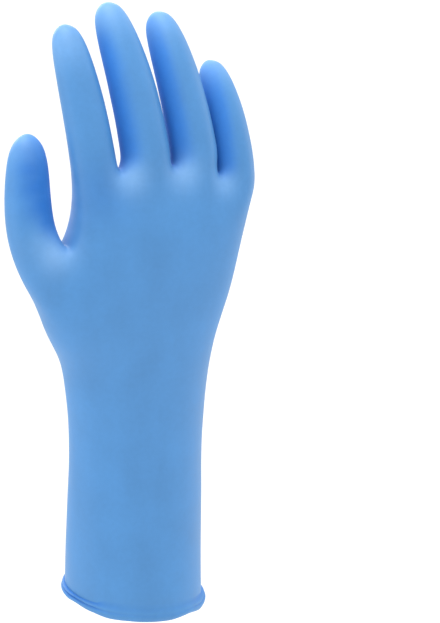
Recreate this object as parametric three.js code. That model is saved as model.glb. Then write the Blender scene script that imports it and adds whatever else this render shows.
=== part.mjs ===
// Long cuffed nitrile exam glove, worn by an invisible hand with the fingers up.
// Millimetres, +Z up the forearm, the back of the hand faces -Y, the thumb is toward -X.
// The origin is the centre of the open mouth of the cuff, level with the rolled bead's lower edge.
import * as THREE from 'three';

// The film, and the bead that its edge is rolled into: half its height and half its thickness.
const wall = 1.0;
const beadHalfHeight = 2.1;
const beadHalfThick = 1.4;
const beadTurns = 8;

// The cuff: half width and half depth at the mouth, and the slant of the mouth's edge.
const cuffHalfWidth = 35.6;
const cuffHalfDepth = 32.0;
const slantAcross = -0.104;
const slantThrough = 0.06;
const slantEnd = 50;

// The hand: height of the knuckles over the mouth, half width and half depth of the palm there,
// and how far a flat row is squared off.
const knuckleHeight = 205.7;
const palmHalfWidth = 46.2;
const palmHalfDepth = 19.0;
const squareness = 0.45;

// The digits. tipReach: how far a tip's point lies past its length, cornerShare and rootDepth:
// a root's corners and depth in shares of its radius, rootDrop: how far the rim of a root lies
// below its centre in shares of fingerGirth.
const middleLength = 84.2;
const fingerGirth = 25.0;
const thumbLength = 72.8;
const thumbGirth = 23.2;
const tipReach = 4.0;
const cornerShare = 0.72;
const rootDepth = 0.96;
const rootDrop = 0.16;

// Sections of the cuff and wrist. rise: share of knuckleHeight, side and width: centre and width
// in shares of cuffHalfWidth, back and depth: the same in shares of cuffHalfDepth, flat: 0 round
// to 1 flat.
const cuffRows = [
  { rise: 0.000, side: -0.014, back: 0.000, width: 1.006, depth: 1.045, flat: 0.00 },
  { rise: 0.077, side: -0.014, back: 0.000, width: 1.000, depth: 1.000, flat: 0.00 },
  { rise: 0.174, side: -0.006, back: 0.000, width: 0.994, depth: 0.940, flat: 0.00 },
  { rise: 0.271, side: 0.000, back: -0.016, width: 0.983, depth: 0.890, flat: 0.00 },
  { rise: 0.367, side: 0.008, back: -0.031, width: 0.972, depth: 0.845, flat: 0.00 },
  { rise: 0.464, side: 0.019, back: -0.062, width: 0.986, depth: 0.813, flat: 0.05 },
  { rise: 0.546, side: 0.008, back: -0.109, width: 1.028, depth: 0.797, flat: 0.15 },
];

// Sections of the palm, the same in shares of palmHalfWidth and palmHalfDepth.
const palmRows = [
  { rise: 0.618, side: -0.009, back: -0.263, width: 0.843, depth: 1.315, flat: 0.30 },
  { rise: 0.686, side: -0.089, back: -0.395, width: 0.976, depth: 1.263, flat: 0.50 },
  { rise: 0.758, side: -0.093, back: -0.500, width: 1.085, depth: 1.210, flat: 0.65 },
  { rise: 0.842, side: 0.006, back: -0.579, width: 1.055, depth: 1.158, flat: 0.80 },
  { rise: 0.908, side: 0.106, back: -0.658, width: 1.008, depth: 1.079, flat: 0.90 },
  { rise: 0.980, side: 0.171, back: -0.724, width: 1.030, depth: 1.020, flat: 0.98 },
];

// The thumb's root takes the third row of the palm and the two over it.
const thumbRow = cuffRows.length + 2;

// Index, middle, ring and little finger. length: share of middleLength, girth: share of
// fingerGirth, lean and sweep: degrees toward +X, curl and bend: degrees toward the palm,
// x: share of palmHalfWidth, y: share of palmHalfDepth, root: height over the knuckle row in
// shares of fingerGirth.
const fingers = [
  { length: 0.885, girth: 0.90, lean: -5.8, sweep: 0, curl: 4, bend: 25, x: -0.580, y: -0.737, root: 0.52 },
  { length: 1.00, girth: 0.98, lean: -5.6, sweep: -4, curl: 4, bend: 30, x: 0.009, y: -0.789, root: 0.60 },
  { length: 0.946, girth: 0.96, lean: -5.6, sweep: -4, curl: 4, bend: 30, x: 0.572, y: -0.789, root: 0.52 },
  { length: 0.702, girth: 0.83, lean: -2.2, sweep: -8, curl: 4, bend: 30, x: 1.046, y: -0.737, root: 0.32 },
];

// Webs between the fingers. x: share of palmHalfWidth, y: share of palmHalfDepth, and in shares
// of fingerGirth: rise over the knuckle row, front and back: reach, frontDrop and backDrop: how
// far they fall, frontSide: how far the front lies toward the little finger.
const webs = [
  {
    x: -0.300, y: -0.74, rise: 0.70, front: 0.38, back: 0.44,
    frontDrop: 0.12, backDrop: 0.36, frontSide: -0.18,
  },
  {
    x: 0.285, y: -0.76, rise: 0.70, front: 0.38, back: 0.44,
    frontDrop: 0.12, backDrop: 0.36, frontSide: -0.18,
  },
  {
    x: 0.805, y: -0.74, rise: 0.48, front: 0.36, back: 0.42,
    frontDrop: 0.12, backDrop: 0.36, frontSide: -0.12,
  },
];

// A finger from root to tip, in shares of its length and girth.
const fingerRows = [
  { along: 0.085, width: 0.99, depth: 0.97 },
  { along: 0.15, width: 0.985, depth: 0.96 },
  { along: 0.25, width: 0.97, depth: 0.93 },
  { along: 0.37, width: 0.95, depth: 0.89 },
  { along: 0.51, width: 0.925, depth: 0.845 },
  { along: 0.66, width: 0.87, depth: 0.79 },
  { along: 0.80, width: 0.79, depth: 0.72 },
  { along: 0.91, width: 0.65, depth: 0.59 },
  { along: 0.975, width: 0.42, depth: 0.38 },
];

// The thumb from root to tip. lean: degrees toward -X, curl: degrees toward the palm.
const thumbBaseLean = 44;
const thumbRows = [
  { along: 0.16, lean: 27, curl: 10, width: 1.14, depth: 1.08 },
  { along: 0.36, lean: 5, curl: 10, width: 1.04, depth: 1.00 },
  { along: 0.55, lean: -4, curl: 10, width: 0.99, depth: 0.92 },
  { along: 0.72, lean: -5, curl: 10, width: 0.93, depth: 0.85 },
  { along: 0.86, lean: -5, curl: 10, width: 0.81, depth: 0.72 },
  { along: 0.955, lean: -6, curl: 10, width: 0.51, depth: 0.44 },
];

// Points round the arm and round a digit before smoothing.
const armSides = 20;
const digitSides = 8;

// Smoothing pulls a ring inward, so each ring starts larger by this much.
const armSwell = 1 / (2 / 3 + Math.cos((2 * Math.PI) / armSides) / 3);
const digitSwell = 1 / (2 / 3 + Math.cos((2 * Math.PI) / digitSides) / 3);

// The bead's section: its centre is this far out of the film's outer face, and the film leaves
// it at this height.
const beadOut = beadHalfThick - wall;
const filmStart = beadHalfHeight * (1 + Math.sqrt(1 - (beadOut / beadHalfThick) ** 2));

const radians = THREE.MathUtils.degToRad;

// Direction, left and front of a digit that leans toward +X and curls toward +Y.
function digitFrame(lean, curl) {
  const a = radians(lean);
  const c = radians(curl);
  const along = new THREE.Vector3(
    Math.sin(a) * Math.cos(c),
    Math.sin(c),
    Math.cos(a) * Math.cos(c),
  );
  const front = new THREE.Vector3(0, -1, 0).addScaledVector(along, along.y).normalize();
  const left = new THREE.Vector3().crossVectors(front, along);
  return { along, left, front };
}

// Coarse cage of the whole glove: points, and faces of four points each.
function buildCage() {
  const points = [];
  const faces = [];

  function add(x, y, z) {
    points.push(new THREE.Vector3(x, y, z));
    return points.length - 1;
  }

  function band(low, high, skip = []) {
    const count = low.length;
    for (let k = 0; k < count; k += 1) {
      if (skip.includes(k)) continue;
      faces.push([low[k], low[(k + 1) % count], high[(k + 1) % count], high[k]]);
    }
  }

  function cap(ring, tip) {
    for (let k = 0; k < digitSides; k += 2) {
      faces.push([ring[k], ring[k + 1], ring[(k + 2) % digitSides], tip]);
    }
  }

  function digitRing(centre, frame, halfWidth, halfDepth) {
    const ring = [];
    for (let k = 0; k < digitSides; k += 1) {
      const t = (2 * Math.PI * k) / digitSides;
      const p = centre.clone();
      p.addScaledVector(frame.left, Math.cos(t) * halfWidth);
      p.addScaledVector(frame.front, Math.sin(t) * halfDepth);
      ring.push(add(p.x, p.y, p.z));
    }
    return ring;
  }

  // Cuff, wrist and palm.
  const rows = [
    ...cuffRows.map((r) => ({ ...r, across: cuffHalfWidth, through: cuffHalfDepth })),
    ...palmRows.map((r) => ({ ...r, across: palmHalfWidth, through: palmHalfDepth })),
  ];
  const rings = rows.map((row) => {
    const ring = [];
    const height = row.rise * knuckleHeight;
    const fade = Math.max(0, 1 - height / slantEnd);
    for (let k = 0; k < armSides; k += 1) {
      const t = Math.PI + (2 * Math.PI * k) / armSides;
      const sin = Math.sin(t);
      const square = Math.sign(sin) * Math.abs(sin) ** (1 - squareness * row.flat);
      const x = row.across * (row.side + row.width * armSwell * Math.cos(t));
      const y = row.through * (row.back + row.depth * armSwell * square);
      const slant = fade * (slantAcross * x + slantThrough * y);
      ring.push(add(x, y, filmStart + height + slant));
    }
    return ring;
  });

  // One more row goes through the roots of the fingers and the webs between them.
  const top = [];
  for (let k = 0; k < armSides; k += 1) {
    top.push(add(0, 0, 0));
  }
  rings.push(top);
  const outer = top[0];
  const halfWay = armSides / 2;
  const front = top.slice(1, halfWay);
  const inner = top[halfWay];
  const back = top.slice(halfWay + 1).reverse();
  const level = filmStart + knuckleHeight;
  const roots = fingers.map((f) => ({
    ...f,
    x: f.x * palmHalfWidth,
    y: f.y * palmHalfDepth,
    z: level + f.root * fingerGirth,
    reach: f.length * middleLength,
    radius: (f.girth * fingerGirth * digitSwell) / 2,
  }));
  const seat = rootDrop * fingerGirth;
  roots.forEach((f, j) => {
    points[front[2 * j + 1]].set(f.x, f.y - f.radius * rootDepth, f.z - seat);
    points[back[2 * j + 1]].set(f.x, f.y + f.radius * rootDepth, f.z - seat);
  });
  const crotches = webs.map((w, j) => {
    const x = w.x * palmHalfWidth;
    const y = w.y * palmHalfDepth;
    const z = level + w.rise * fingerGirth;
    const forward = w.front * fingerGirth;
    const rearward = w.back * fingerGirth;
    const sideways = w.frontSide * fingerGirth;
    points[front[2 * j + 2]].set(x + sideways, y - forward, z - w.frontDrop * fingerGirth);
    points[back[2 * j + 2]].set(x, y + rearward, z - w.backDrop * fingerGirth);
    return add(x, y, z);
  });
  const lastRoot = roots.length - 1;
  const lastFront = front.length - 1;
  const edges = [
    { f: roots[0], side: -1, a: front[0], m: outer, b: back[0] },
    { f: roots[lastRoot], side: 1, a: front[lastFront], m: inner, b: back[lastFront] },
  ];
  edges.forEach(({ f, side, a, m, b }) => {
    const corner = f.radius * cornerShare;
    points[m].set(f.x + side * f.radius, f.y, f.z - seat);
    points[a].set(f.x + side * corner, f.y - corner, f.z - seat);
    points[b].set(f.x + side * corner, f.y + corner, f.z - seat);
  });
  for (let i = 0; i < rings.length - 1; i += 1) {
    const open = i === thumbRow || i === thumbRow + 1;
    band(rings[i], rings[i + 1], open ? [0, armSides - 1] : []);
  }

  // Fingers: each ring is set along a centre line that bends toward the palm.
  roots.forEach((f, j) => {
    const left = j === 0 ? outer : crotches[j - 1];
    const right = j === lastRoot ? inner : crotches[j];
    let ring = [
      left, front[2 * j], front[2 * j + 1], front[2 * j + 2],
      right, back[2 * j + 2], back[2 * j + 1], back[2 * j],
    ];
    const centre = new THREE.Vector3(f.x, f.y, f.z);
    let last = 0;
    [...fingerRows, { along: 1 }].forEach((row) => {
      const mid = (row.along + last) / 2;
      const step = digitFrame(f.lean + f.sweep * mid, f.curl + f.bend * mid);
      centre.addScaledVector(step.along, (row.along - last) * f.reach);
      last = row.along;
      const here = digitFrame(f.lean + f.sweep * last, f.curl + f.bend * last);
      if (row.width === undefined) {
        centre.addScaledVector(here.along, tipReach);
        cap(ring, add(centre.x, centre.y, centre.z));
        return;
      }
      const next = digitRing(centre, here, f.radius * row.width, f.radius * row.depth);
      band(ring, next);
      ring = next;
    });
  });

  // Thumb: the same, from the opening on the thumb side.
  const low = rings[thumbRow];
  const mid = rings[thumbRow + 1];
  const high = rings[thumbRow + 2];
  const end = armSides - 1;
  let ring = [low[0], low[1], mid[1], high[1], high[0], high[end], mid[end], low[end]];
  const centre = new THREE.Vector3();
  ring.forEach((v) => centre.addScaledVector(points[v], 1 / digitSides));
  const radius = (thumbGirth * digitSwell) / 2;
  let last = 0;
  let lean = thumbBaseLean;
  thumbRows.forEach((row) => {
    const step = digitFrame(-(row.lean + lean) / 2, row.curl);
    centre.addScaledVector(step.along, (row.along - last) * thumbLength);
    last = row.along;
    lean = row.lean;
    const next = digitRing(
      centre,
      digitFrame(-lean, row.curl),
      radius * row.width,
      radius * row.depth,
    );
    band(ring, next);
    ring = next;
  });
  const tip = digitFrame(-lean, thumbRows[thumbRows.length - 1].curl);
  centre.addScaledVector(tip.along, (1 - last) * thumbLength + tipReach);
  cap(ring, add(centre.x, centre.y, centre.z));

  // The points of the palm that the thumb's root has taken out are left behind.
  const used = [...new Set(faces.flat())].sort((a, b) => a - b);
  const renamed = new Map(used.map((v, i) => [v, i]));
  return {
    points: used.map((v) => points[v]),
    faces: faces.map((face) => face.map((v) => renamed.get(v))),
  };
}

// Edges of a net of four sided faces, each with the faces beside it.
function edgesOf(faces) {
  const edges = new Map();
  faces.forEach((face, f) => {
    for (let i = 0; i < 4; i += 1) {
      const a = face[i];
      const b = face[(i + 1) % 4];
      const key = a < b ? `${a}_${b}` : `${b}_${a}`;
      if (!edges.has(key)) edges.set(key, { a, b, sides: [] });
      edges.get(key).sides.push(f);
    }
  });
  return edges;
}

// One smoothing step: each face becomes four, and the points are averaged.
function smooth({ points, faces }) {
  const sum = (list) => list.reduce((s, p) => s.add(p), new THREE.Vector3());
  const centres = faces.map((face) => sum(face.map((v) => points[v])).divideScalar(4));
  const edges = edgesOf(faces);
  const out = [];
  const around = points.map(() => ({ centres: [], middles: [], rim: [] }));
  faces.forEach((face, f) => face.forEach((v) => around[v].centres.push(centres[f])));
  const edgeIndex = new Map();
  const edgePoints = [];
  edges.forEach(({ a, b, sides }, key) => {
    const middle = points[a].clone().add(points[b]).divideScalar(2);
    around[a].middles.push(middle);
    around[b].middles.push(middle);
    let p = middle;
    if (sides.length === 2) {
      p = middle.clone().multiplyScalar(2).add(centres[sides[0]]).add(centres[sides[1]]);
      p.divideScalar(4);
    } else {
      around[a].rim.push(middle);
      around[b].rim.push(middle);
    }
    edgeIndex.set(key, edgePoints.length);
    edgePoints.push(p);
  });
  points.forEach((p, v) => {
    const { centres: near, middles, rim } = around[v];
    if (rim.length === 2) {
      out.push(p.clone().multiplyScalar(2).add(rim[0]).add(rim[1]).divideScalar(4));
      return;
    }
    const n = near.length;
    const f = sum(near).divideScalar(n);
    const r = sum(middles).divideScalar(n);
    out.push(f.add(r.multiplyScalar(2)).addScaledVector(p, n - 3).divideScalar(n));
  });
  const firstEdge = out.length;
  out.push(...edgePoints);
  const firstCentre = out.length;
  out.push(...centres);
  const finer = [];
  faces.forEach((face, f) => {
    const mid = face.map((v, i) => {
      const w = face[(i + 1) % 4];
      return firstEdge + edgeIndex.get(v < w ? `${v}_${w}` : `${w}_${v}`);
    });
    face.forEach((v, i) => {
      finer.push([v, mid[i], firstCentre + f, mid[(i + 3) % 4]]);
    });
  });
  return { points: out, faces: finer };
}

// Moves each point to where endless smoothing would leave it.
function settle({ points, faces }) {
  const edges = edgesOf(faces);
  const next = points.map(() => ({ edge: [], rim: [], far: [], count: 0 }));
  edges.forEach(({ a, b, sides }) => {
    next[a].edge.push(points[b]);
    next[b].edge.push(points[a]);
    if (sides.length === 1) {
      next[a].rim.push(points[b]);
      next[b].rim.push(points[a]);
    }
  });
  faces.forEach((face) => {
    face.forEach((v, i) => {
      next[v].far.push(points[face[(i + 2) % 4]]);
      next[v].count += 1;
    });
  });
  const moved = points.map((p, v) => {
    const { edge, rim, far, count: n } = next[v];
    const q = new THREE.Vector3();
    if (rim.length === 2) {
      return q.addScaledVector(p, 4).add(rim[0]).add(rim[1]).divideScalar(6);
    }
    q.addScaledVector(p, n * n);
    edge.forEach((e) => q.addScaledVector(e, 4));
    far.forEach((f) => q.add(f));
    return q.divideScalar(n * (n + 5));
  });
  return { points: moved, faces };
}

// Outward direction at each point of a net.
function outward({ points, faces }) {
  const normals = points.map(() => new THREE.Vector3());
  faces.forEach((face) => {
    const [a, b, c, d] = face.map((v) => points[v]);
    const n = c.clone().sub(a).cross(d.clone().sub(b));
    face.forEach((v) => normals[v].add(n));
  });
  return normals.map((n) => n.normalize());
}

// Points of the open mouth in order, with the inside of the glove on the left hand.
function mouthOf(faces) {
  const follow = new Map();
  edgesOf(faces).forEach(({ a, b, sides }) => {
    if (sides.length === 1) follow.set(a, b);
  });
  const first = follow.keys().next().value;
  const loop = [first];
  while (follow.get(loop[loop.length - 1]) !== first) {
    loop.push(follow.get(loop[loop.length - 1]));
  }
  return loop;
}

// The film with its rolled bead: outer skin, inner skin and the roll that joins them.
function filmGeometry() {
  const skin = settle(smooth(buildCage()));
  const normals = outward(skin);
  const loop = mouthOf(skin.faces);
  const coords = [];
  const triangles = [];
  const count = skin.points.length;
  const level = new Map();

  // The film ends square to the mouth, so the directions there lie in the mouth's own plane.
  loop.forEach((v) => {
    const flat = new THREE.Vector3(normals[v].x, normals[v].y, 0).normalize();
    flat.z = slantAcross * flat.x + slantThrough * flat.y;
    normals[v].copy(flat);
    level.set(v, flat);
  });
  skin.points.forEach((p) => coords.push(p.x, p.y, p.z));
  skin.points.forEach((p, v) => {
    const q = p.clone().addScaledVector(normals[v], -wall);
    coords.push(q.x, q.y, q.z);
  });

  function quad(a, b, c, d) {
    triangles.push(a, b, c, a, c, d);
  }
  skin.faces.forEach(([a, b, c, d]) => {
    quad(a, b, c, d);
    quad(count + d, count + c, count + b, count + a);
  });

  // The roll: from the inner skin round the underside and back up to the outer skin.
  const start = Math.PI;
  const finish = 3 * Math.PI - Math.acos(beadOut / beadHalfThick);
  const strips = [loop.map((v) => count + v)];
  for (let i = 0; i < beadTurns; i += 1) {
    const t = start + ((finish - start) * i) / beadTurns;
    const out = beadOut + beadHalfThick * Math.cos(t);
    const drop = filmStart - beadHalfHeight - beadHalfHeight * Math.sin(t);
    strips.push(loop.map((v) => {
      const p = skin.points[v].clone().addScaledVector(level.get(v), out);
      coords.push(p.x, p.y, p.z - drop);
      return coords.length / 3 - 1;
    }));
  }
  strips.push(loop);
  for (let s = 0; s < strips.length - 1; s += 1) {
    for (let k = 0; k < loop.length; k += 1) {
      const m = (k + 1) % loop.length;
      quad(strips[s][k], strips[s][m], strips[s + 1][m], strips[s + 1][k]);
    }
  }

  const geometry = new THREE.BufferGeometry();
  geometry.setAttribute('position', new THREE.Float32BufferAttribute(coords, 3));
  geometry.setIndex(triangles);
  geometry.computeVertexNormals();
  return geometry;
}

function buildGlove() {
  const glove = new THREE.Group();
  glove.name = 'nitrile_exam_glove';
  const nitrile = new THREE.MeshStandardMaterial({
    color: 0x5f9fdc,
    roughness: 0.48,
    metalness: 0,
  });
  nitrile.name = 'nitrile_blue';
  const film = new THREE.Mesh(filmGeometry(), nitrile);
  film.name = 'GLOVE_FILM';
  glove.add(film);
  return glove;
}

export default buildGlove();
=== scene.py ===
import bpy
import bmesh
import math
import numpy as np
from math import cos, pi, radians, sin, sqrt
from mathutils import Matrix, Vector, noise
from mathutils.bvhtree import BVHTree


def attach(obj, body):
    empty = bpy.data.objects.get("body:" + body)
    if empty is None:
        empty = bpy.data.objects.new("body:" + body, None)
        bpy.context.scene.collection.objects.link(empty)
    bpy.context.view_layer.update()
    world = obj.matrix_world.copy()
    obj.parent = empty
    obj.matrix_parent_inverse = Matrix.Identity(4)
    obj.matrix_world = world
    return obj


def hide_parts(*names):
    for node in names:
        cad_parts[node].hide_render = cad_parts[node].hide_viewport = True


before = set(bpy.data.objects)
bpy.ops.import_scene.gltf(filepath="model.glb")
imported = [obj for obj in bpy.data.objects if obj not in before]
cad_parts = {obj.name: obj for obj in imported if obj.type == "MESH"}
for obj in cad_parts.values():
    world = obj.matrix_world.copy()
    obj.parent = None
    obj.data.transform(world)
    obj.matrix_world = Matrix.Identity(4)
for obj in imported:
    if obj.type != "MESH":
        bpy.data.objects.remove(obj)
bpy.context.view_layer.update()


mm = 0.001


def link(name, mesh):
    piece = bpy.data.objects.new(name, mesh)
    bpy.context.scene.collection.objects.link(piece)
    return piece


def limited(value):
    return min(1, max(0, value))


def placesOf(mesh):
    # the mesh's points in mm
    places = np.empty(len(mesh.vertices) * 3)
    mesh.vertices.foreach_get("co", places)
    return places.reshape(-1, 3) / mm


def treeOf(mesh):
    # tree to find and cast onto the mesh
    work = bmesh.new()
    work.from_mesh(mesh)
    tree = BVHTree.FromBMesh(work)
    work.free()
    return tree


def addValues(mesh, name, values):
    layer = mesh.attributes.new(name, "FLOAT", "POINT")
    layer.data.foreach_set("value", values)


def shadeSmooth(mesh):
    mesh.polygons.foreach_set("use_smooth", [True] * len(mesh.polygons))


# Glove form, mm and degrees: the sections of the solid it covers, brought nearer to the photo
# by up to 2.5 mm
gloveForm = {
    "wall": 1.0,
    "beadHalfHeight": 2.1,
    "beadHalfThick": 1.4,
    "cuffHalfWidth": 35.6,
    "cuffHalfDepth": 32.0,
    "slantAcross": -0.104,
    "slantThrough": 0.06,
    "slantEnd": 50,
    "knuckleHeight": 205.7,
    "palmHalfWidth": 46.2,
    "palmHalfDepth": 19.0,
    "squareness": 0.45,
    "middleLength": 84.2,
    "fingerGirth": 25.0,
    "thumbLength": 72.8,
    "thumbGirth": 23.2,
    "thumbBaseLean": 44,
    "tipReach": 4.0,
    "cornerShare": 0.72,
    "rootDepth": 0.96,
    "rootDrop": 0.16,
    "armSides": 20,
    "digitSides": 8,
    # rise, side, back, width, depth, flat: shares of the knuckle height and the cuff's half sizes
    "cuffRows": [
        (0.000, -0.014, 0.000, 1.006, 1.045, 0.00),
        (0.077, -0.014, 0.000, 1.000, 1.000, 0.00),
        (0.174, 0.002, 0.000, 1.000, 0.940, 0.00),
        (0.271, 0.010, -0.016, 0.993, 0.890, 0.00),
        (0.367, 0.014, -0.031, 0.978, 0.845, 0.00),
        (0.464, 0.012, -0.062, 1.005, 0.813, 0.05),
        (0.546, -0.012, -0.109, 1.048, 0.797, 0.15),
    ],
    # the same, in shares of the palm's half sizes
    "palmRows": [
        (0.618, -0.018, -0.263, 0.852, 1.315, 0.30),
        (0.686, -0.089, -0.395, 0.976, 1.263, 0.50),
        (0.758, -0.093, -0.500, 1.085, 1.210, 0.65),
        (0.842, 0.006, -0.579, 1.055, 1.158, 0.80),
        (0.908, 0.106, -0.658, 1.008, 1.079, 0.90),
        (0.980, 0.195, -0.670, 1.006, 0.970, 0.98),
    ],
    # length, girth, lean, sweep, curl, bend, x, y, root
    "fingers": {
        "index": (0.893, 0.90, -5.8, 0, 4, 25, -0.580, -0.737, 0.52),
        "middle": (1.00, 0.98, -5.6, -4, 4, 30, 0.009, -0.789, 0.60),
        "ring": (0.955, 0.96, -5.6, -4, 4, 30, 0.572, -0.789, 0.52),
        "little": (0.702, 0.83, -2.2, -8, 4, 30, 1.046, -0.737, 0.32),
    },
    # x, y, rise, front, back, frontDrop, backDrop, frontSide
    "webs": [
        (-0.300, -0.74, 0.70, 0.38, 0.44, 0.12, 0.36, -0.18),
        (0.285, -0.76, 0.70, 0.38, 0.44, 0.12, 0.36, -0.18),
        (0.805, -0.74, 0.48, 0.36, 0.42, 0.12, 0.36, -0.12),
    ],
    # along, width, depth
    "fingerRows": [
        (0.085, 0.99, 0.97),
        (0.15, 0.985, 0.96),
        (0.25, 0.97, 0.93),
        (0.37, 0.95, 0.89),
        (0.51, 0.925, 0.845),
        (0.66, 0.87, 0.79),
        (0.80, 0.79, 0.72),
        (0.91, 0.67, 0.61),
        (0.975, 0.48, 0.43),
    ],
    # along, lean, curl, width, depth
    "thumbRows": [
        (0.16, 27, 10, 1.14, 1.08),
        (0.36, 5, 10, 1.04, 1.00),
        (0.55, -4, 10, 0.99, 0.92),
        (0.72, -5, 10, 0.93, 0.85),
        (0.86, -5, 10, 0.82, 0.73),
        (0.955, -6, 10, 0.56, 0.49),
    ],
    "filmThickness": 0.4,
}
beadOut = gloveForm["beadHalfThick"] - gloveForm["wall"]
beadShare = beadOut / gloveForm["beadHalfThick"]
gloveForm["filmStart"] = gloveForm["beadHalfHeight"] * (1 + sqrt(1 - beadShare ** 2))
# the thumb's root takes this row and the two over it
gloveForm["thumbRow"] = len(gloveForm["cuffRows"]) + 2


def swell(sides):
    # smoothing pulls a ring inward by this much
    return 1 / (2 / 3 + cos(2 * pi / sides) / 3)


def digitFrame(lean, curl):
    a, c = radians(lean), radians(curl)
    along = Vector((sin(a) * cos(c), sin(c), cos(a) * cos(c)))
    front = (Vector((0, -1, 0)) + along * along.y).normalized()
    return along, front.cross(along), front


class Cage:
    # coarse net of the glove: four sided faces over points in mm
    def __init__(self):
        self.points = []
        self.faces = []

    def add(self, p):
        self.points.append(Vector(p))
        return len(self.points) - 1

    def band(self, low, high, skip=()):
        n = len(low)
        for k in range(n):
            if k not in skip:
                m = (k + 1) % n
                self.faces.append((low[k], low[m], high[m], high[k]))

    def cap(self, ring, tip):
        n = len(ring)
        for k in range(0, n, 2):
            self.faces.append((ring[k], ring[k + 1], ring[(k + 2) % n], tip))

    def digitRing(self, centre, axes, halfWidth, halfDepth, sides):
        along, left, front = axes
        ring = []
        for k in range(sides):
            t = 2 * pi * k / sides
            ring.append(self.add(centre + left * cos(t) * halfWidth + front * sin(t) * halfDepth))
        return ring


def armRings(cage, form):
    rows = [(r, form["cuffHalfWidth"], form["cuffHalfDepth"]) for r in form["cuffRows"]]
    rows += [(r, form["palmHalfWidth"], form["palmHalfDepth"]) for r in form["palmRows"]]
    grow = swell(form["armSides"])
    rings = []
    for (rise, side, back, width, depth, flat), across, through in rows:
        height = rise * form["knuckleHeight"]
        fade = max(0, 1 - height / form["slantEnd"])
        ring = []
        for k in range(form["armSides"]):
            t = pi + 2 * pi * k / form["armSides"]
            square = math.copysign(abs(sin(t)) ** (1 - form["squareness"] * flat), sin(t))
            x = across * (side + width * grow * cos(t))
            y = through * (back + depth * grow * square)
            slant = fade * (form["slantAcross"] * x + form["slantThrough"] * y)
            ring.append(cage.add((x, y, form["filmStart"] + height + slant)))
        rings.append(ring)
    # the last ring is set by the roots of the fingers and the webs
    rings.append([cage.add((0, 0, 0)) for _ in range(form["armSides"])])
    return rings


def fingerSet(cage, form, top):
    sides = form["digitSides"]
    grow = swell(sides)
    level = form["filmStart"] + form["knuckleHeight"]
    girthUnit, deep = form["fingerGirth"], form["palmHalfDepth"]
    seat = form["rootDrop"] * girthUnit
    half = form["armSides"] // 2
    outer, front = top[0], top[1:half]
    inner, back = top[half], top[half + 1:][::-1]
    roots = []
    for j, values in enumerate(form["fingers"].values()):
        length, girth, lean, sweep, curl, bend, x, y, root = values
        x, y, z = x * form["palmHalfWidth"], y * deep, level + root * girthUnit
        radius = girth * girthUnit * grow / 2
        thick = radius * form["rootDepth"]
        cage.points[front[2 * j + 1]] = Vector((x, y - thick, z - seat))
        cage.points[back[2 * j + 1]] = Vector((x, y + thick, z - seat))
        reach = length * form["middleLength"]
        roots.append((Vector((x, y, z)), radius, reach, lean, sweep, curl, bend))
    crotches = []
    for j, web in enumerate(form["webs"]):
        x, y, rise, reachFront, reachBack, frontDrop, backDrop, frontSide = web
        x, y, z = x * form["palmHalfWidth"], y * deep, level + rise * girthUnit
        ahead = Vector((frontSide, -reachFront, -frontDrop)) * girthUnit
        behind = Vector((0, reachBack, -backDrop)) * girthUnit
        cage.points[front[2 * j + 2]] = Vector((x, y, z)) + ahead
        cage.points[back[2 * j + 2]] = Vector((x, y, z)) + behind
        crotches.append(cage.add((x, y, z)))
    edges = ((roots[0], -1, front[0], outer, back[0]), (roots[-1], 1, front[-1], inner, back[-1]))
    for (c, radius, *_), side, a, m, b in edges:
        corner = radius * form["cornerShare"]
        cage.points[m] = c + Vector((side * radius, 0, -seat))
        cage.points[a] = c + Vector((side * corner, -corner, -seat))
        cage.points[b] = c + Vector((side * corner, corner, -seat))
    for j, (start, radius, reach, lean, sweep, curl, bend) in enumerate(roots):
        left = outer if j == 0 else crotches[j - 1]
        right = inner if j == len(roots) - 1 else crotches[j]
        ring = [left, front[2 * j], front[2 * j + 1], front[2 * j + 2]]
        ring += [right, back[2 * j + 2], back[2 * j + 1], back[2 * j]]
        centre, last = start.copy(), 0.0
        for along, width, depth in form["fingerRows"] + [(1.0, 0, 0)]:
            mid = (along + last) / 2
            centre += digitFrame(lean + sweep * mid, curl + bend * mid)[0] * (along - last) * reach
            last = along
            axes = digitFrame(lean + sweep * along, curl + bend * along)
            if width == 0:
                cage.cap(ring, cage.add(centre + axes[0] * form["tipReach"]))
                break
            following = cage.digitRing(centre, axes, radius * width, radius * depth, sides)
            cage.band(ring, following)
            ring = following


def thumb(cage, form, rings):
    low, mid, high = rings[form["thumbRow"]:form["thumbRow"] + 3]
    ring = [low[0], low[1], mid[1], high[1], high[0], high[-1], mid[-1], low[-1]]
    centre = sum((cage.points[v] for v in ring), Vector()) / len(ring)
    reach, sides = form["thumbLength"], form["digitSides"]
    radius = form["thumbGirth"] * swell(sides) / 2
    last, lean = 0.0, form["thumbBaseLean"]
    for along, nextLean, curl, width, depth in form["thumbRows"]:
        centre += digitFrame(-(nextLean + lean) / 2, curl)[0] * (along - last) * reach
        last, lean = along, nextLean
        axes = digitFrame(-lean, curl)
        following = cage.digitRing(centre, axes, radius * width, radius * depth, sides)
        cage.band(ring, following)
        ring = following
    tip = centre + digitFrame(-lean, curl)[0] * ((1 - last) * reach + form["tipReach"])
    cage.cap(ring, cage.add(tip))


def gloveCage(form):
    cage = Cage()
    rings = armRings(cage, form)
    openAt = (form["thumbRow"], form["thumbRow"] + 1)
    for i in range(len(rings) - 1):
        cage.band(rings[i], rings[i + 1], (0, form["armSides"] - 1) if i in openAt else ())
    fingerSet(cage, form, rings[-1])
    thumb(cage, form, rings)
    used = sorted({v for face in cage.faces for v in face})
    renamed = {v: i for i, v in enumerate(used)}
    mesh = bpy.data.meshes.new("gloveCage")
    faces = [[renamed[v] for v in face] for face in cage.faces]
    mesh.from_pydata([cage.points[v] * mm for v in used], [], faces)
    mesh.update()
    return mesh


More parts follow.
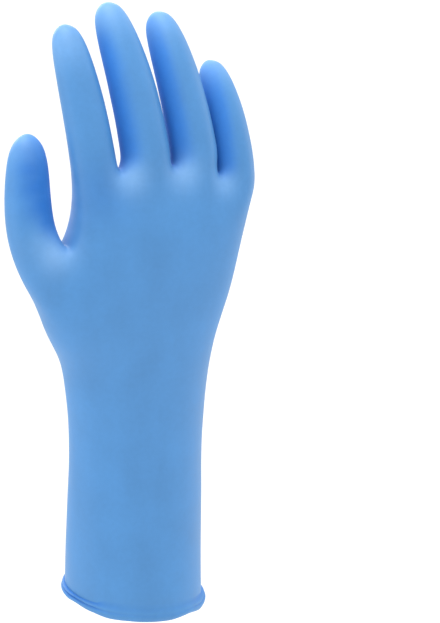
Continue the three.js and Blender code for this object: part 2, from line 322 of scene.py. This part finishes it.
def applied(piece, name):
    # the piece's mesh with its modifiers worked in
    graph = bpy.context.evaluated_depsgraph_get()
    mesh = bpy.data.meshes.new_from_object(piece.evaluated_get(graph))
    mesh.name = name
    old = piece.data
    piece.modifiers.clear()
    piece.data = mesh
    bpy.data.meshes.remove(old)
    return mesh


def smoothed(piece, levels, name):
    fine = piece.modifiers.new("smoothing", "SUBSURF")
    fine.levels = fine.render_levels = levels
    fine.uv_smooth = "NONE"
    return applied(piece, name)


# Nook shade: painted shade where one digit faces another across a narrow gap and blocks the
# light from a side, 0 in the open to 1. Each side is a direction, how wide its cone is in
# degrees, and between which x in mm it counts
nookShadeForm = {
    "sides": [
        ((-1.0, -0.15, 0.10), 50, (-19, 80)),
        ((1.0, -0.25, 0.10), 50, (-90, -45)),
    ],
    "rays": 30,
    "goldenTurn": 2.399963,  # between one ray and the next
    "lift": 0.6,  # mm off the film where a ray starts
    "reach": 60,  # mm
    "edge": 4,  # mm over which a side comes in
    "wrap": 0.15,
    "start": 0.06,
    "full": 0.25,
    "softening": 2,
}


def coneRays(axis, wide, count, step):
    # even spread of directions in a cone
    turnTo = Vector(axis).normalized().to_track_quat("Z", "Y")
    out = []
    for i in range(count):
        r = sqrt((i + 0.5) / count) * sin(radians(wide))
        turn = i * step
        out.append(turnTo @ Vector((r * cos(turn), r * sin(turn), sqrt(1 - r * r))))
    return out


# painted shade: for each point, the share of light from each side that the glove itself blocks
def nookShadeValues(mesh, values):
    work = bmesh.new()
    work.from_mesh(mesh)
    work.normal_update()
    tree = BVHTree.FromBMesh(work)
    reach = values["reach"] * mm
    edge, wrap, count = values["edge"], values["wrap"], values["rays"]
    sides = []
    for axis, wide, span in values["sides"]:
        sides.append((coneRays(axis, wide, count, values["goldenTurn"]), span))
    closed = []
    for v in work.verts:
        start = v.co + v.normal * values["lift"] * mm
        most = 0
        for rays, (low, high) in sides:
            x = v.co.x / mm
            weight = limited((x - low) / edge) * limited((high - x) / edge)
            if weight == 0:
                continue
            facing = [(max(0, v.normal.dot(ray) + wrap), ray) for ray in rays]
            lost = sum(
                toward for toward, ray in facing
                if toward > 0 and tree.ray_cast(start, ray, reach)[0] is not None)
            most = max(most, weight * lost / count)
        closed.append(most)
    near = [[e.other_vert(v).index for e in v.link_edges] for v in work.verts]
    work.free()
    span = values["full"] - values["start"]
    nookShade = [limited((c - values["start"]) / span) for c in closed]
    for _ in range(values["softening"]):
        around = [sum(nookShade[n] for n in ring) / len(ring) for ring in near]
        nookShade = [0.5 * here + 0.5 * beside for here, beside in zip(nookShade, around)]
    return nookShade


# Painted shade on the film, mm: place, radius, and how deep
shadeSpots = [
    # painted shade along the thumb, toward the hand
    ((-58, -9, 238), 7, 0.8),
    ((-58, -11, 230), 8, 1.0),
    ((-57, -12, 221), 8.5, 1.0),
    ((-55, -13, 212), 8.5, 1.0),
    ((-53, -15, 205), 6, 0.9),
    # painted shade in the hollow behind the first knuckles
    ((-29, -27, 219), 15, 0.28),
]

# Painted light with paler stretched film, the same
stretchAndLightSpots = [
    # painted highlight on the webs between the fingers, where top light falls
    ((-13, -25, 225), 8, 0.9),
    ((15, -25, 225), 8, 0.9),
    ((38, -24, 218), 6.5, 0.65),
    # painted highlight on the web of the thumb
    ((-50, -21, 191), 9, 1.0),
    ((-56, -18, 194), 7, 0.5),
    # painted light on the edge of the palm across from the thumb, where it is in shade
    ((-41, -10, 199), 7, 0.9),
    ((-38, -8, 207), 8, 1.0),
    ((-38, -8, 217), 8, 0.9),
    ((-38, -8, 228), 7, 0.5),
    # painted highlight on the tips of the digits
    ((-36, 3, 287), 13, 0.65),
    ((-9, 9, 300), 13, 0.7),
    ((16, 9, 295), 13, 0.7),
    ((41, 5, 272), 12, 0.95),
    ((-56, 2, 243), 12, 0.6),
]


def spotValues(mesh, spots):
    places = placesOf(mesh)
    values = np.zeros(len(places))
    for place, radius, strength in spots:
        gap = ((places - np.array(place)) ** 2).sum(1)
        values = np.maximum(values, strength * np.exp(-gap / radius ** 2))
    return values


def gloveFilm(form, nookShading, paintedShade, stretchAndLight):
    piece = link("gloveFilm", gloveCage(form))
    mesh = smoothed(piece, 2, "gloveFilm")
    nookShade = nookShadeValues(mesh, nookShading)
    # painted shade between the digits
    addValues(mesh, "nookShade", nookShade)
    # painted shade at the shade spots
    addValues(mesh, "shade", spotValues(mesh, paintedShade))
    # painted light where top light falls on tips and webs, with paler stretched film
    addValues(mesh, "paintedLightAndStretch", spotValues(mesh, stretchAndLight))
    smoothed(piece, 1, "gloveFilm")
    print("glove film:", len(piece.data.vertices), "points, nooks to", round(max(nookShade), 2))
    return piece


# Folds, mm: start and end near the film, width, and depth into it (negative stands out)
filmFolds = [
    # thumb web, back of the hand
    ((-44, -22, 197), (-36, -24, 184), 3.6, 0.35),
    ((-40, -22, 200), (-29, -26, 193), 3.2, 0.25),
    # base of the thumb toward the wrist
    ((-52, -6, 172), (-42, -16, 150), 5.0, 0.35),
    # palm side of the fingers' joints
    ((-37, 4, 252), (-24, 4, 251), 2.6, 0.45),
    ((-10, 5, 258), (5, 5, 257), 2.6, 0.45),
    ((16, 5, 254), (31, 5, 252), 2.6, 0.45),
    ((40, 4, 238), (52, 4, 236), 2.4, 0.40),
    # palm side of the fingers' roots
    ((-38, 2, 226), (-16, 3, 222), 3.2, 0.5),
    ((-8, 3, 226), (12, 3, 225), 3.2, 0.5),
    ((16, 3, 224), (36, 3, 221), 3.2, 0.5),
    ((40, 2, 216), (56, 2, 213), 3.0, 0.45),
    # palm side of the thumb's joint and root
    ((-66, 10, 204), (-50, 9, 206), 3.0, 0.4),
    ((-46, 8, 192), (-22, 16, 166), 5.0, 0.55),
    # wrist, palm side
    ((-24, 24, 122), (22, 25, 120), 4.5, 0.4),
    ((-20, 25, 112), (26, 25, 114), 5.0, 0.3),
    # cuff just over the bead
    ((-6, -32, 13), (14, -32, 9), 2.6, -0.3),
]

# How a fold is drawn: places along it, and how short and blunt its ends fade
foldLine = {
    "steps": 16,
    "ends": 0.08,
    "bluntness": 0.7,
}

# Slow unevenness of the dipped film, mm
filmWaves = {
    "height": 0.22,
    "acrossMm": 34,
    "alongMm": 120,
    "fineHeight": 0.06,
    "fineMm": 13,
    "fineFrom": (7.3, 2.1, 5.9),
    "keepMm": 7,  # the film by the bead stays true
    "calmMm": 20,  # and over this height the waves come in
}


def shapeFilm(piece, folds, line, waves):
    mesh = piece.data
    places = placesOf(mesh)
    normals = np.array([v.normal[:] for v in mesh.vertices])
    tree = treeOf(mesh)
    offset = np.zeros(len(places))
    along = np.arange(line["steps"] + 1) / line["steps"]
    taper = np.sin((along * (1 - 2 * line["ends"]) + line["ends"]) * pi) ** line["bluntness"]
    for start, end, width, depth in folds:
        spots = [Vector(start).lerp(Vector(end), t) for t in along]
        path = np.array([tree.find_nearest(spot * mm)[0][:] for spot in spots]) / mm
        gap = places[:, None, :] - path[None, :, :]
        distance = np.sqrt((gap ** 2).sum(2))
        nearest = distance.argmin(1)
        offset -= depth * taper[nearest] * np.exp(-(distance.min(1) / width) ** 2)
    waveSize = np.array((waves["acrossMm"], waves["acrossMm"], waves["alongMm"]))
    for i, p in enumerate(places):
        slow = noise.noise(Vector(p / waveSize))
        fine = noise.noise(Vector(p / waves["fineMm"]) + Vector(waves["fineFrom"]))
        calm = limited((p[2] - waves["keepMm"]) / waves["calmMm"])
        offset[i] += calm * (waves["height"] * slow + waves["fineHeight"] * fine)
    places += normals * offset[:, None]
    mesh.vertices.foreach_set("co", (places * mm).ravel())
    mesh.update()
    low, high = round(offset.min(), 2), round(offset.max(), 2)
    print("film shaped:", len(folds), "folds, moved by", low, "to", high, "mm")


def mouthLoop(mesh):
    # points of the open edge, in order round the mouth
    work = bmesh.new()
    work.from_mesh(mesh)
    rim = [e for e in work.edges if e.is_boundary]
    byPoint = {}
    for e in rim:
        for v in e.verts:
            byPoint.setdefault(v.index, []).append(e)
    start = rim[0].verts[0].index
    loop, edge = [start], rim[0]
    while True:
        here = [v.index for v in edge.verts if v.index != loop[-1]][0]
        if here == start:
            break
        loop.append(here)
        edge = [e for e in byPoint[here] if e is not edge][0]
    work.free()
    return loop


# Rolled bead, mm. Each section point: out of the film and height, first where the roll lies
# soft against the film, then where it is tight and shows the turn under it, and how deep in a
# crease it is there, which sets the painted shade in the crease
beadForm = {
    "section": [
        ((-0.14, 12.0), (-0.20, 9.0), 0.0),
        ((-0.03, 9.8), (-0.14, 7.0), 0.0),
        ((0.05, 8.0), (-0.10, 5.8), 0.5),
        ((0.16, 6.4), (-0.06, 4.7), 1.0),
        ((0.50, 5.0), (0.50, 4.2), 0.6),
        ((0.85, 4.0), (1.40, 3.8), 0.0),
        ((1.10, 3.2), (0.55, 3.0), 0.9),
        ((1.35, 2.1), (1.85, 1.9), 0.0),
        ((1.05, 0.7), (1.40, 0.5), 0.0),
        ((0.35, 0.0), (0.45, 0.0), 0.0),
        ((-0.45, 0.5), (-0.45, 0.5), 0.0),
        ((-0.80, 1.6), (-0.80, 1.6), 0.0),
        ((-0.60, 3.0), (-0.60, 3.0), 0.0),
        ((-0.38, 4.4), (-0.38, 4.4), 0.0),
    ],
    # degrees from +X, how tight, how far it stands out, how far it hangs down
    "round": [
        (-180, 1.00, 1.05, -0.4),
        (-168, 1.00, 0.95, -1.0),
        (-152, 0.65, 0.90, -0.1),
        (-136, 0.18, 0.85, 0.8),
        (-115, 0.08, 0.80, 0.4),
        (-85, 0.05, 0.85, 0.2),
        (-60, 0.12, 1.00, -0.8),
        (-40, 0.35, 1.30, 0.7),
        (-18, 0.60, 1.45, 0.3),
        (25, 0.60, 1.00, 0.0),
        (90, 0.45, 0.95, 0.2),
        (140, 0.80, 1.00, 0.0),
        (180, 1.00, 1.05, -0.4),
    ],
    "smoothSteps": 3,
    "standMm": 0.1,  # what lies further out than this stands out
    "hangMm": 6,  # height under which the roll hangs down
    "uneven": 0.10,
    "unevenTurn": 3.1,  # how quickly it changes on the way round
    "unevenFrom": 0.3,
    "creaseShade": 0.8,
    "followMm": 8,  # height over which the roll takes the film's own slope
    "castMm": 20,  # from how far out the film is felt for
}


def eased(rows, at):
    for a, b in zip(rows, rows[1:]):
        if at <= b[0]:
            t = (at - a[0]) / (b[0] - a[0])
            t = t * t * (3 - 2 * t)
            return [p + (q - p) * t for p, q in zip(a[1:], b[1:])]
    return rows[-1][1:]


def spline(points, steps):
    # smooth line through the points
    out = []
    last = len(points) - 1
    for i in range(last):
        p0, p1, p2, p3 = (points[min(last, max(0, i + k))] for k in (-1, 0, 1, 2))
        for s in range(steps):
            t = s / steps
            out.append(tuple(
                0.5 * (2 * b + (c - a) * t + (2 * a - 5 * b + 4 * c - d) * t * t
                       + (3 * b - a - 3 * c + d) * t ** 3)
                for a, b, c, d in zip(p0, p1, p2, p3)))
    out.append(points[-1])
    return out


def rolledBead(form, film, beads):
    points = [film.data.vertices[v].co.copy() for v in mouthLoop(film.data)]
    centre = sum(points, Vector()) / len(points)
    verts, faces, paintedCreaseShade = [], [], []
    tree = treeOf(film.data)
    follow, around = beads["followMm"], beads["unevenTurn"]
    for p in points:
        flat = Vector((p.x - centre.x, p.y - centre.y, 0)).normalized()
        outside = p + flat * beads["castMm"] * mm + Vector((0, 0, follow * mm))
        wall = tree.ray_cast(outside, -flat)[0]
        lean = (wall - p).dot(flat) / mm / follow
        turn = math.atan2(flat.y, flat.x)
        tight, stand, hang = eased(beads["round"], math.degrees(turn))
        place = Vector((cos(turn) * around, sin(turn) * around, beads["unevenFrom"]))
        wobble = beads["uneven"] * noise.noise(place)
        section = []
        for (softOut, softUp), (hardOut, hardUp), crease in beads["section"]:
            out = softOut + (hardOut - softOut) * tight
            up = softUp + (hardUp - softUp) * tight
            low = max(0, 1 - up / beads["hangMm"])
            out = out * (stand if out > beads["standMm"] else 1) * (1 + wobble)
            out += lean * max(0, up - form["filmStart"])
            section.append((out, up - hang * low, crease * tight))
        base = p.z / mm - form["filmStart"]
        line = spline(section, beads["smoothSteps"])
        for out, up, crease in line:
            verts.append(p + flat * out * mm + Vector((0, 0, (base + up) * mm - p.z)))
            paintedCreaseShade.append(limited(crease))
    n, m = len(points), len(line)
    for i in range(n):
        here, following = i * m, ((i + 1) % n) * m
        for k in range(m):
            over = (k + 1) % m
            faces.append((here + k, here + over, following + over, following + k))
    mesh = bpy.data.meshes.new("rolledBead")
    mesh.from_pydata(verts, [], faces)
    work = bmesh.new()
    work.from_mesh(mesh)
    bmesh.ops.recalc_face_normals(work, faces=work.faces)
    work.to_mesh(mesh)
    work.free()
    # painted shade in the bead's creases
    addValues(mesh, "nookShade", paintedCreaseShade)
    addValues(mesh, "shade", [beads["creaseShade"] * crease for crease in paintedCreaseShade])
    shadeSmooth(mesh)
    print("rolled bead:", n, "sections of", m)
    return link("rolledBead", mesh)


film = gloveFilm(gloveForm, nookShadeForm, shadeSpots, stretchAndLightSpots)
bead = rolledBead(gloveForm, film, beadForm)
shapeFilm(film, filmFolds, foldLine, filmWaves)
thin = film.modifiers.new("thickness", "SOLIDIFY")
thin.thickness = gloveForm["filmThickness"] * mm
thin.offset = -1
thin.use_rim = True
thin.material_offset = 1
thin.material_offset_rim = 0
for name in ("outerNitrile", "innerNitrile"):
    film.data.materials.append(bpy.data.materials.new(name))
applied(film, "gloveFilm")
shadeSmooth(film.data)


def groupNodes(name, inputs, outputs):
    group = bpy.data.node_groups.new(name, "ShaderNodeTree")
    for label, kind, start in inputs:
        socket = group.interface.new_socket(label, in_out="INPUT", socket_type=kind)
        socket.default_value = start
    for label, kind in outputs:
        group.interface.new_socket(label, in_out="OUTPUT", socket_type=kind)
    given = group.nodes.new("NodeGroupInput")
    result = group.nodes.new("NodeGroupOutput")
    return group, given, result


def mathNode(tree, operation, a, b, clamp=False):
    node = tree.nodes.new("ShaderNodeMath")
    node.operation = operation
    node.use_clamp = clamp
    for socket, value in zip(node.inputs, (a, b)):
        if isinstance(value, (int, float)):
            socket.default_value = value
        else:
            tree.links.new(value, socket)
    return node.outputs[0]


def noiseNode(tree, place, scale, detail):
    node = tree.nodes.new("ShaderNodeTexNoise")
    node.inputs["Detail"].default_value = detail
    if isinstance(scale, (int, float)):
        node.inputs["Scale"].default_value = scale
    else:
        tree.links.new(scale, node.inputs["Scale"])
    tree.links.new(place, node.inputs["Vector"])
    return node.outputs["Fac"]


def squashed(tree, place, scale):
    node = tree.nodes.new("ShaderNodeMapping")
    node.inputs["Scale"].default_value = scale
    tree.links.new(place, node.inputs["Vector"])
    return node.outputs["Vector"]


def attributeNode(tree, name):
    node = tree.nodes.new("ShaderNodeAttribute")
    node.attribute_name = name
    return node.outputs["Fac"]


def blendNode(tree, share, a, b):
    node = tree.nodes.new("ShaderNodeMix")
    node.data_type = "RGBA"
    for label, source in (("Factor", share), ("A", a), ("B", b)):
        tree.links.new(source, node.inputs[label])
    return node.outputs["Result"]


# Noises of the dipped film, per metre. A squash makes them longer up the glove than across it
filmNoise = {
    "cloudDetail": 3,
    "runScale": 75,
    "runSquash": (1, 1, 0.14),
    "runDetail": 2,
    "fineScale": 420,
    "fineDetail": 2,
    "fineShare": 0.35,
    "grainDetail": 3,
    "rippleScale": 210,
    "rippleSquash": (1, 1, 0.3),
    "rippleDetail": 2,
}


def dipMottle(values):
    # cloudiness and long runs that a dipped film keeps, about 0
    tree, given, result = groupNodes(
        "dipMottle",
        [("Clouds per Metre", "NodeSocketFloat", 38.0),
         ("Run Share", "NodeSocketFloat", 0.5)],
        [("Tone", "NodeSocketFloat")])
    place = tree.nodes.new("ShaderNodeTexCoord").outputs["Object"]
    squashedPlace = squashed(tree, place, values["runSquash"])
    clouds = noiseNode(tree, place, given.outputs["Clouds per Metre"], values["cloudDetail"])
    runs = noiseNode(tree, squashedPlace, values["runScale"], values["runDetail"])
    fine = noiseNode(tree, place, values["fineScale"], values["fineDetail"])
    tone = mathNode(tree, "SUBTRACT", clouds, 0.5)
    runTone = mathNode(tree, "SUBTRACT", runs, 0.5)
    runTone = mathNode(tree, "MULTIPLY", runTone, given.outputs["Run Share"])
    fineTone = mathNode(tree, "SUBTRACT", fine, 0.5)
    fineTone = mathNode(tree, "MULTIPLY", fineTone, values["fineShare"])
    total = mathNode(tree, "ADD", mathNode(tree, "ADD", tone, runTone), fineTone)
    tree.links.new(total, result.inputs["Tone"])
    return tree


def filmColour():
    # open film, with painted shade in a nook, darker painted shade at the shade spots and painted
    # light where top light falls and the film is stretched, with the tone on top
    tree, given, result = groupNodes(
        "filmColour",
        [("Open", "NodeSocketColor", (0.07, 0.24, 0.52, 1)),
         ("Nook Shade Colour", "NodeSocketColor", (0.03, 0.19, 0.60, 1)),
         ("Painted Shade Colour", "NodeSocketColor", (0.01, 0.14, 0.50, 1)),
         ("Stretch And Light Colour", "NodeSocketColor", (0.16, 0.37, 0.68, 1)),
         ("Nook Shade Share", "NodeSocketFloat", 1.0),
         ("Tone", "NodeSocketFloat", 0.0),
         ("Tone Share", "NodeSocketFloat", 0.1)],
        [("Color", "NodeSocketColor"), ("Depth", "NodeSocketFloat")])
    nookShade = attributeNode(tree, "nookShade")
    depth = mathNode(tree, "MULTIPLY", nookShade, given.outputs["Nook Shade Share"], clamp=True)
    # painted shade in a nook, from the open colour toward the nook shade colour
    nookShaded = blendNode(tree, depth, given.outputs["Open"], given.outputs["Nook Shade Colour"])
    # painted shade at the shade spots
    shaded = blendNode(tree, attributeNode(tree, "shade"), nookShaded, given.outputs["Painted Shade Colour"])
    # painted light where top light falls on tips and webs, with paler stretched film
    stretchedAndLit = blendNode(tree, attributeNode(tree, "paintedLightAndStretch"), shaded, given.outputs["Stretch And Light Colour"])
    change = mathNode(tree, "MULTIPLY", given.outputs["Tone"], given.outputs["Tone Share"])
    toned = tree.nodes.new("ShaderNodeHueSaturation")
    tree.links.new(stretchedAndLit, toned.inputs["Color"])
    value = mathNode(tree, "ADD", mathNode(tree, "MULTIPLY", change, 2), 1.0)
    tree.links.new(value, toned.inputs["Value"])
    tree.links.new(toned.outputs["Color"], result.inputs["Color"])
    tree.links.new(depth, result.inputs["Depth"])
    return tree


def filmGrain(values):
    # height of the fine skin of a dipped film, 0 to 1
    tree, given, result = groupNodes(
        "filmGrain",
        [("Grains per Metre", "NodeSocketFloat", 1500.0),
         ("Ripple Share", "NodeSocketFloat", 0.5)],
        [("Height", "NodeSocketFloat")])
    place = tree.nodes.new("ShaderNodeTexCoord").outputs["Object"]
    squashedPlace = squashed(tree, place, values["rippleSquash"])
    grain = noiseNode(tree, place, given.outputs["Grains per Metre"], values["grainDetail"])
    ripple = noiseNode(tree, squashedPlace, values["rippleScale"], values["rippleDetail"])
    ripple = mathNode(tree, "MULTIPLY", ripple, given.outputs["Ripple Share"])
    tree.links.new(mathNode(tree, "ADD", grain, ripple), result.inputs["Height"])
    return tree


# Nitrile finish, linear colours: open film, painted shade between two digits, painted shade
# at the shade spots, and painted light with paler stretched film
outerFinish = {
    "open": (0.066, 0.237, 0.525, 1),
    # painted shade between two digits
    "deep": (0.029, 0.192, 0.600, 1),
    # painted shade at the shade spots
    "paintedShade": (0.012, 0.142, 0.500, 1),
    # painted light with paler stretched film
    "stretchAndLight": (0.172, 0.374, 0.690, 1),
    "shine": 0.40,
    "nookShadeShare": 1.0,
    "nookRoughness": 0.3,
    "tone": 0.13,
    "roughness": 0.46,
    "roughnessSpread": 0.10,
    "clouds": 38.0,
    "runs": 0.5,
    "grains": 1500.0,
    "ripples": 0.5,
    "grainDepth": 0.00006,
    "grainStrength": 0.35,
}
innerFinish = {
    "open": (0.070, 0.245, 0.545, 1),
    "deep": (0.040, 0.200, 0.560, 1),
    "paintedShade": (0.040, 0.200, 0.560, 1),
    "stretchAndLight": (0.110, 0.300, 0.600, 1),
    "shine": 0.35,
    "nookShadeShare": 0.3,
    "nookRoughness": 0.1,
    "tone": 0.14,
    "roughness": 0.62,
    "roughnessSpread": 0.10,
    "clouds": 52.0,
    "runs": 0.8,
    "grains": 1100.0,
    "ripples": 0.8,
    "grainDepth": 0.00008,
    "grainStrength": 0.45,
}


def nitrile(name, finish, mottle, colour, grain):
    material = bpy.data.materials.get(name)
    material.use_nodes = True
    tree = material.node_tree
    shader = tree.nodes["Principled BSDF"]
    tones = tree.nodes.new("ShaderNodeGroup")
    tones.node_tree = mottle
    tones.inputs["Clouds per Metre"].default_value = finish["clouds"]
    tones.inputs["Run Share"].default_value = finish["runs"]
    tint = tree.nodes.new("ShaderNodeGroup")
    tint.node_tree = colour
    tint.inputs["Open"].default_value = finish["open"]
    tint.inputs["Nook Shade Colour"].default_value = finish["deep"]
    tint.inputs["Painted Shade Colour"].default_value = finish["paintedShade"]
    tint.inputs["Stretch And Light Colour"].default_value = finish["stretchAndLight"]
    tint.inputs["Nook Shade Share"].default_value = finish["nookShadeShare"]
    tint.inputs["Tone Share"].default_value = finish["tone"]
    tree.links.new(tones.outputs["Tone"], tint.inputs["Tone"])
    tree.links.new(tint.outputs["Color"], shader.inputs["Base Color"])
    rough = mathNode(tree, "MULTIPLY", tones.outputs["Tone"], finish["roughnessSpread"] * 2)
    dulled = mathNode(tree, "MULTIPLY", tint.outputs["Depth"], finish["nookRoughness"])
    rough = mathNode(tree, "ADD", rough, dulled)
    tree.links.new(mathNode(tree, "ADD", rough, finish["roughness"]), shader.inputs["Roughness"])
    shader.inputs["Specular IOR Level"].default_value = finish["shine"]
    skin = tree.nodes.new("ShaderNodeGroup")
    skin.node_tree = grain
    skin.inputs["Grains per Metre"].default_value = finish["grains"]
    skin.inputs["Ripple Share"].default_value = finish["ripples"]
    bump = tree.nodes.new("ShaderNodeBump")
    bump.inputs["Strength"].default_value = finish["grainStrength"]
    bump.inputs["Distance"].default_value = finish["grainDepth"]
    tree.links.new(skin.outputs["Height"], bump.inputs["Height"])
    tree.links.new(bump.outputs["Normal"], shader.inputs["Normal"])
    return material


groups = dipMottle(filmNoise), filmColour(), filmGrain(filmNoise)
outer = nitrile("outerNitrile", outerFinish, *groups)
nitrile("innerNitrile", innerFinish, *groups)
bead.data.materials.append(outer)
for piece in (film, bead):
    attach(piece, "root")
    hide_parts("GLOVE_FILM")
print("nitrile finish: done")

# Studio: pale floor far under the held glove, soft boxes at the sides, over and behind
studio = {
    "floorDrop": 0.8,
    "floorReach": 30.0,
    "floorColour": (0.93, 0.93, 0.93, 1),
    "floorRoughness": 0.9,
    "backdrop": 1.05,  # what the camera sees over the floor's edge
    "skyLow": 0.73,
    "skyRise": 0.76,
    "boxes": {
        # place, aim, size, watts
        "leftBox": ((-1.2, 0.15, 0.35), (0, 0, 0.16), (0.7, 1.4), 3),
        "rightBox": ((1.2, 0.05, 0.35), (0, 0, 0.16), (0.7, 1.4), 3),
        "topBox": ((-0.15, 0.0, 1.1), (0, 0, 0.2), (0.7, 0.7), 5),
        "backBox": ((0.2, 1.4, 0.75), (0, 0, 0.22), (1.6, 0.8), 12),
    },
}


def floorPiece(values):
    mesh = bpy.data.meshes.new("floor")
    r, z = values["floorReach"] / 2, -values["floorDrop"]
    mesh.from_pydata([(-r, -r, z), (r, -r, z), (r, r, z), (-r, r, z)], [], [(0, 1, 2, 3)])
    floor = link("floor", mesh)
    material = bpy.data.materials.new("paleFloor")
    material.use_nodes = True
    shader = material.node_tree.nodes["Principled BSDF"]
    shader.inputs["Base Color"].default_value = values["floorColour"]
    shader.inputs["Roughness"].default_value = values["floorRoughness"]
    mesh.materials.append(material)


def softBox(name, place, aim, size, watts):
    data = bpy.data.lights.new(name, "AREA")
    data.shape = "RECTANGLE"
    data.size, data.size_y = size
    data.energy = watts
    lamp = bpy.data.objects.new(name, data)
    lamp.location = place
    lamp.rotation_euler = (Vector(aim) - Vector(place)).to_track_quat("-Z", "Y").to_euler()
    bpy.context.scene.collection.objects.link(lamp)


def lightStudio(values):
    world = bpy.data.worlds.new("studioWorld")
    bpy.context.scene.world = world
    world.use_nodes = True
    tree = world.node_tree
    back = tree.nodes["Background"]
    back.inputs["Color"].default_value = (1, 1, 1, 1)
    axes = tree.nodes.new("ShaderNodeSeparateXYZ")
    tree.links.new(tree.nodes.new("ShaderNodeTexCoord").outputs["Generated"], axes.inputs["Vector"])
    rise = mathNode(tree, "MULTIPLY", axes.outputs["Z"], values["skyRise"])
    glow = mathNode(tree, "ADD", rise, values["skyLow"])
    seen = tree.nodes.new("ShaderNodeLightPath").outputs["Is Camera Ray"]
    backdrop = mathNode(tree, "MULTIPLY", seen, values["backdrop"])
    tree.links.new(mathNode(tree, "MAXIMUM", glow, backdrop), back.inputs["Strength"])
    for name, box in values["boxes"].items():
        softBox(name, *box)
    floorPiece(values)
    bpy.context.scene.view_settings.view_transform = "Standard"


# Camera: from the thumb side and a little above, aimed right of the glove as in the photo
cameraSetup = {
    "azimuth": -25,
    "elevation": 15,
    "distance": 0.950,
    "mmPerPixel": 0.4985,  # at the target
    "targetPixel": (134, 308.7),
    "target": (0, 0, 0.15277),
    "picture": (440, 623),
    "sensor": 36.0,
    "clip": (0.01, 100),
}


def photoCamera(values):
    data = bpy.data.cameras.new("photoCamera")
    camera = bpy.data.objects.new("photoCamera", data)
    bpy.context.scene.collection.objects.link(camera)
    a, e = radians(values["azimuth"]), radians(values["elevation"])
    back = Vector((sin(a) * cos(e), -cos(a) * cos(e), sin(e)))
    camera.location = Vector(values["target"]) + back * values["distance"]
    camera.rotation_euler = (-back).to_track_quat("-Z", "Y").to_euler()
    wide, tall = values["picture"]
    viewTall = tall * values["mmPerPixel"] * mm
    data.sensor_fit = "AUTO"
    data.sensor_width = values["sensor"]
    data.lens = values["sensor"] * values["distance"] / viewTall
    px, py = values["targetPixel"]
    data.shift_x = (wide / 2 - px) / tall
    data.shift_y = (py - tall / 2) / tall
    data.clip_start, data.clip_end = values["clip"]
    bpy.context.scene.camera = camera


lightStudio(studio)
photoCamera(cameraSetup)
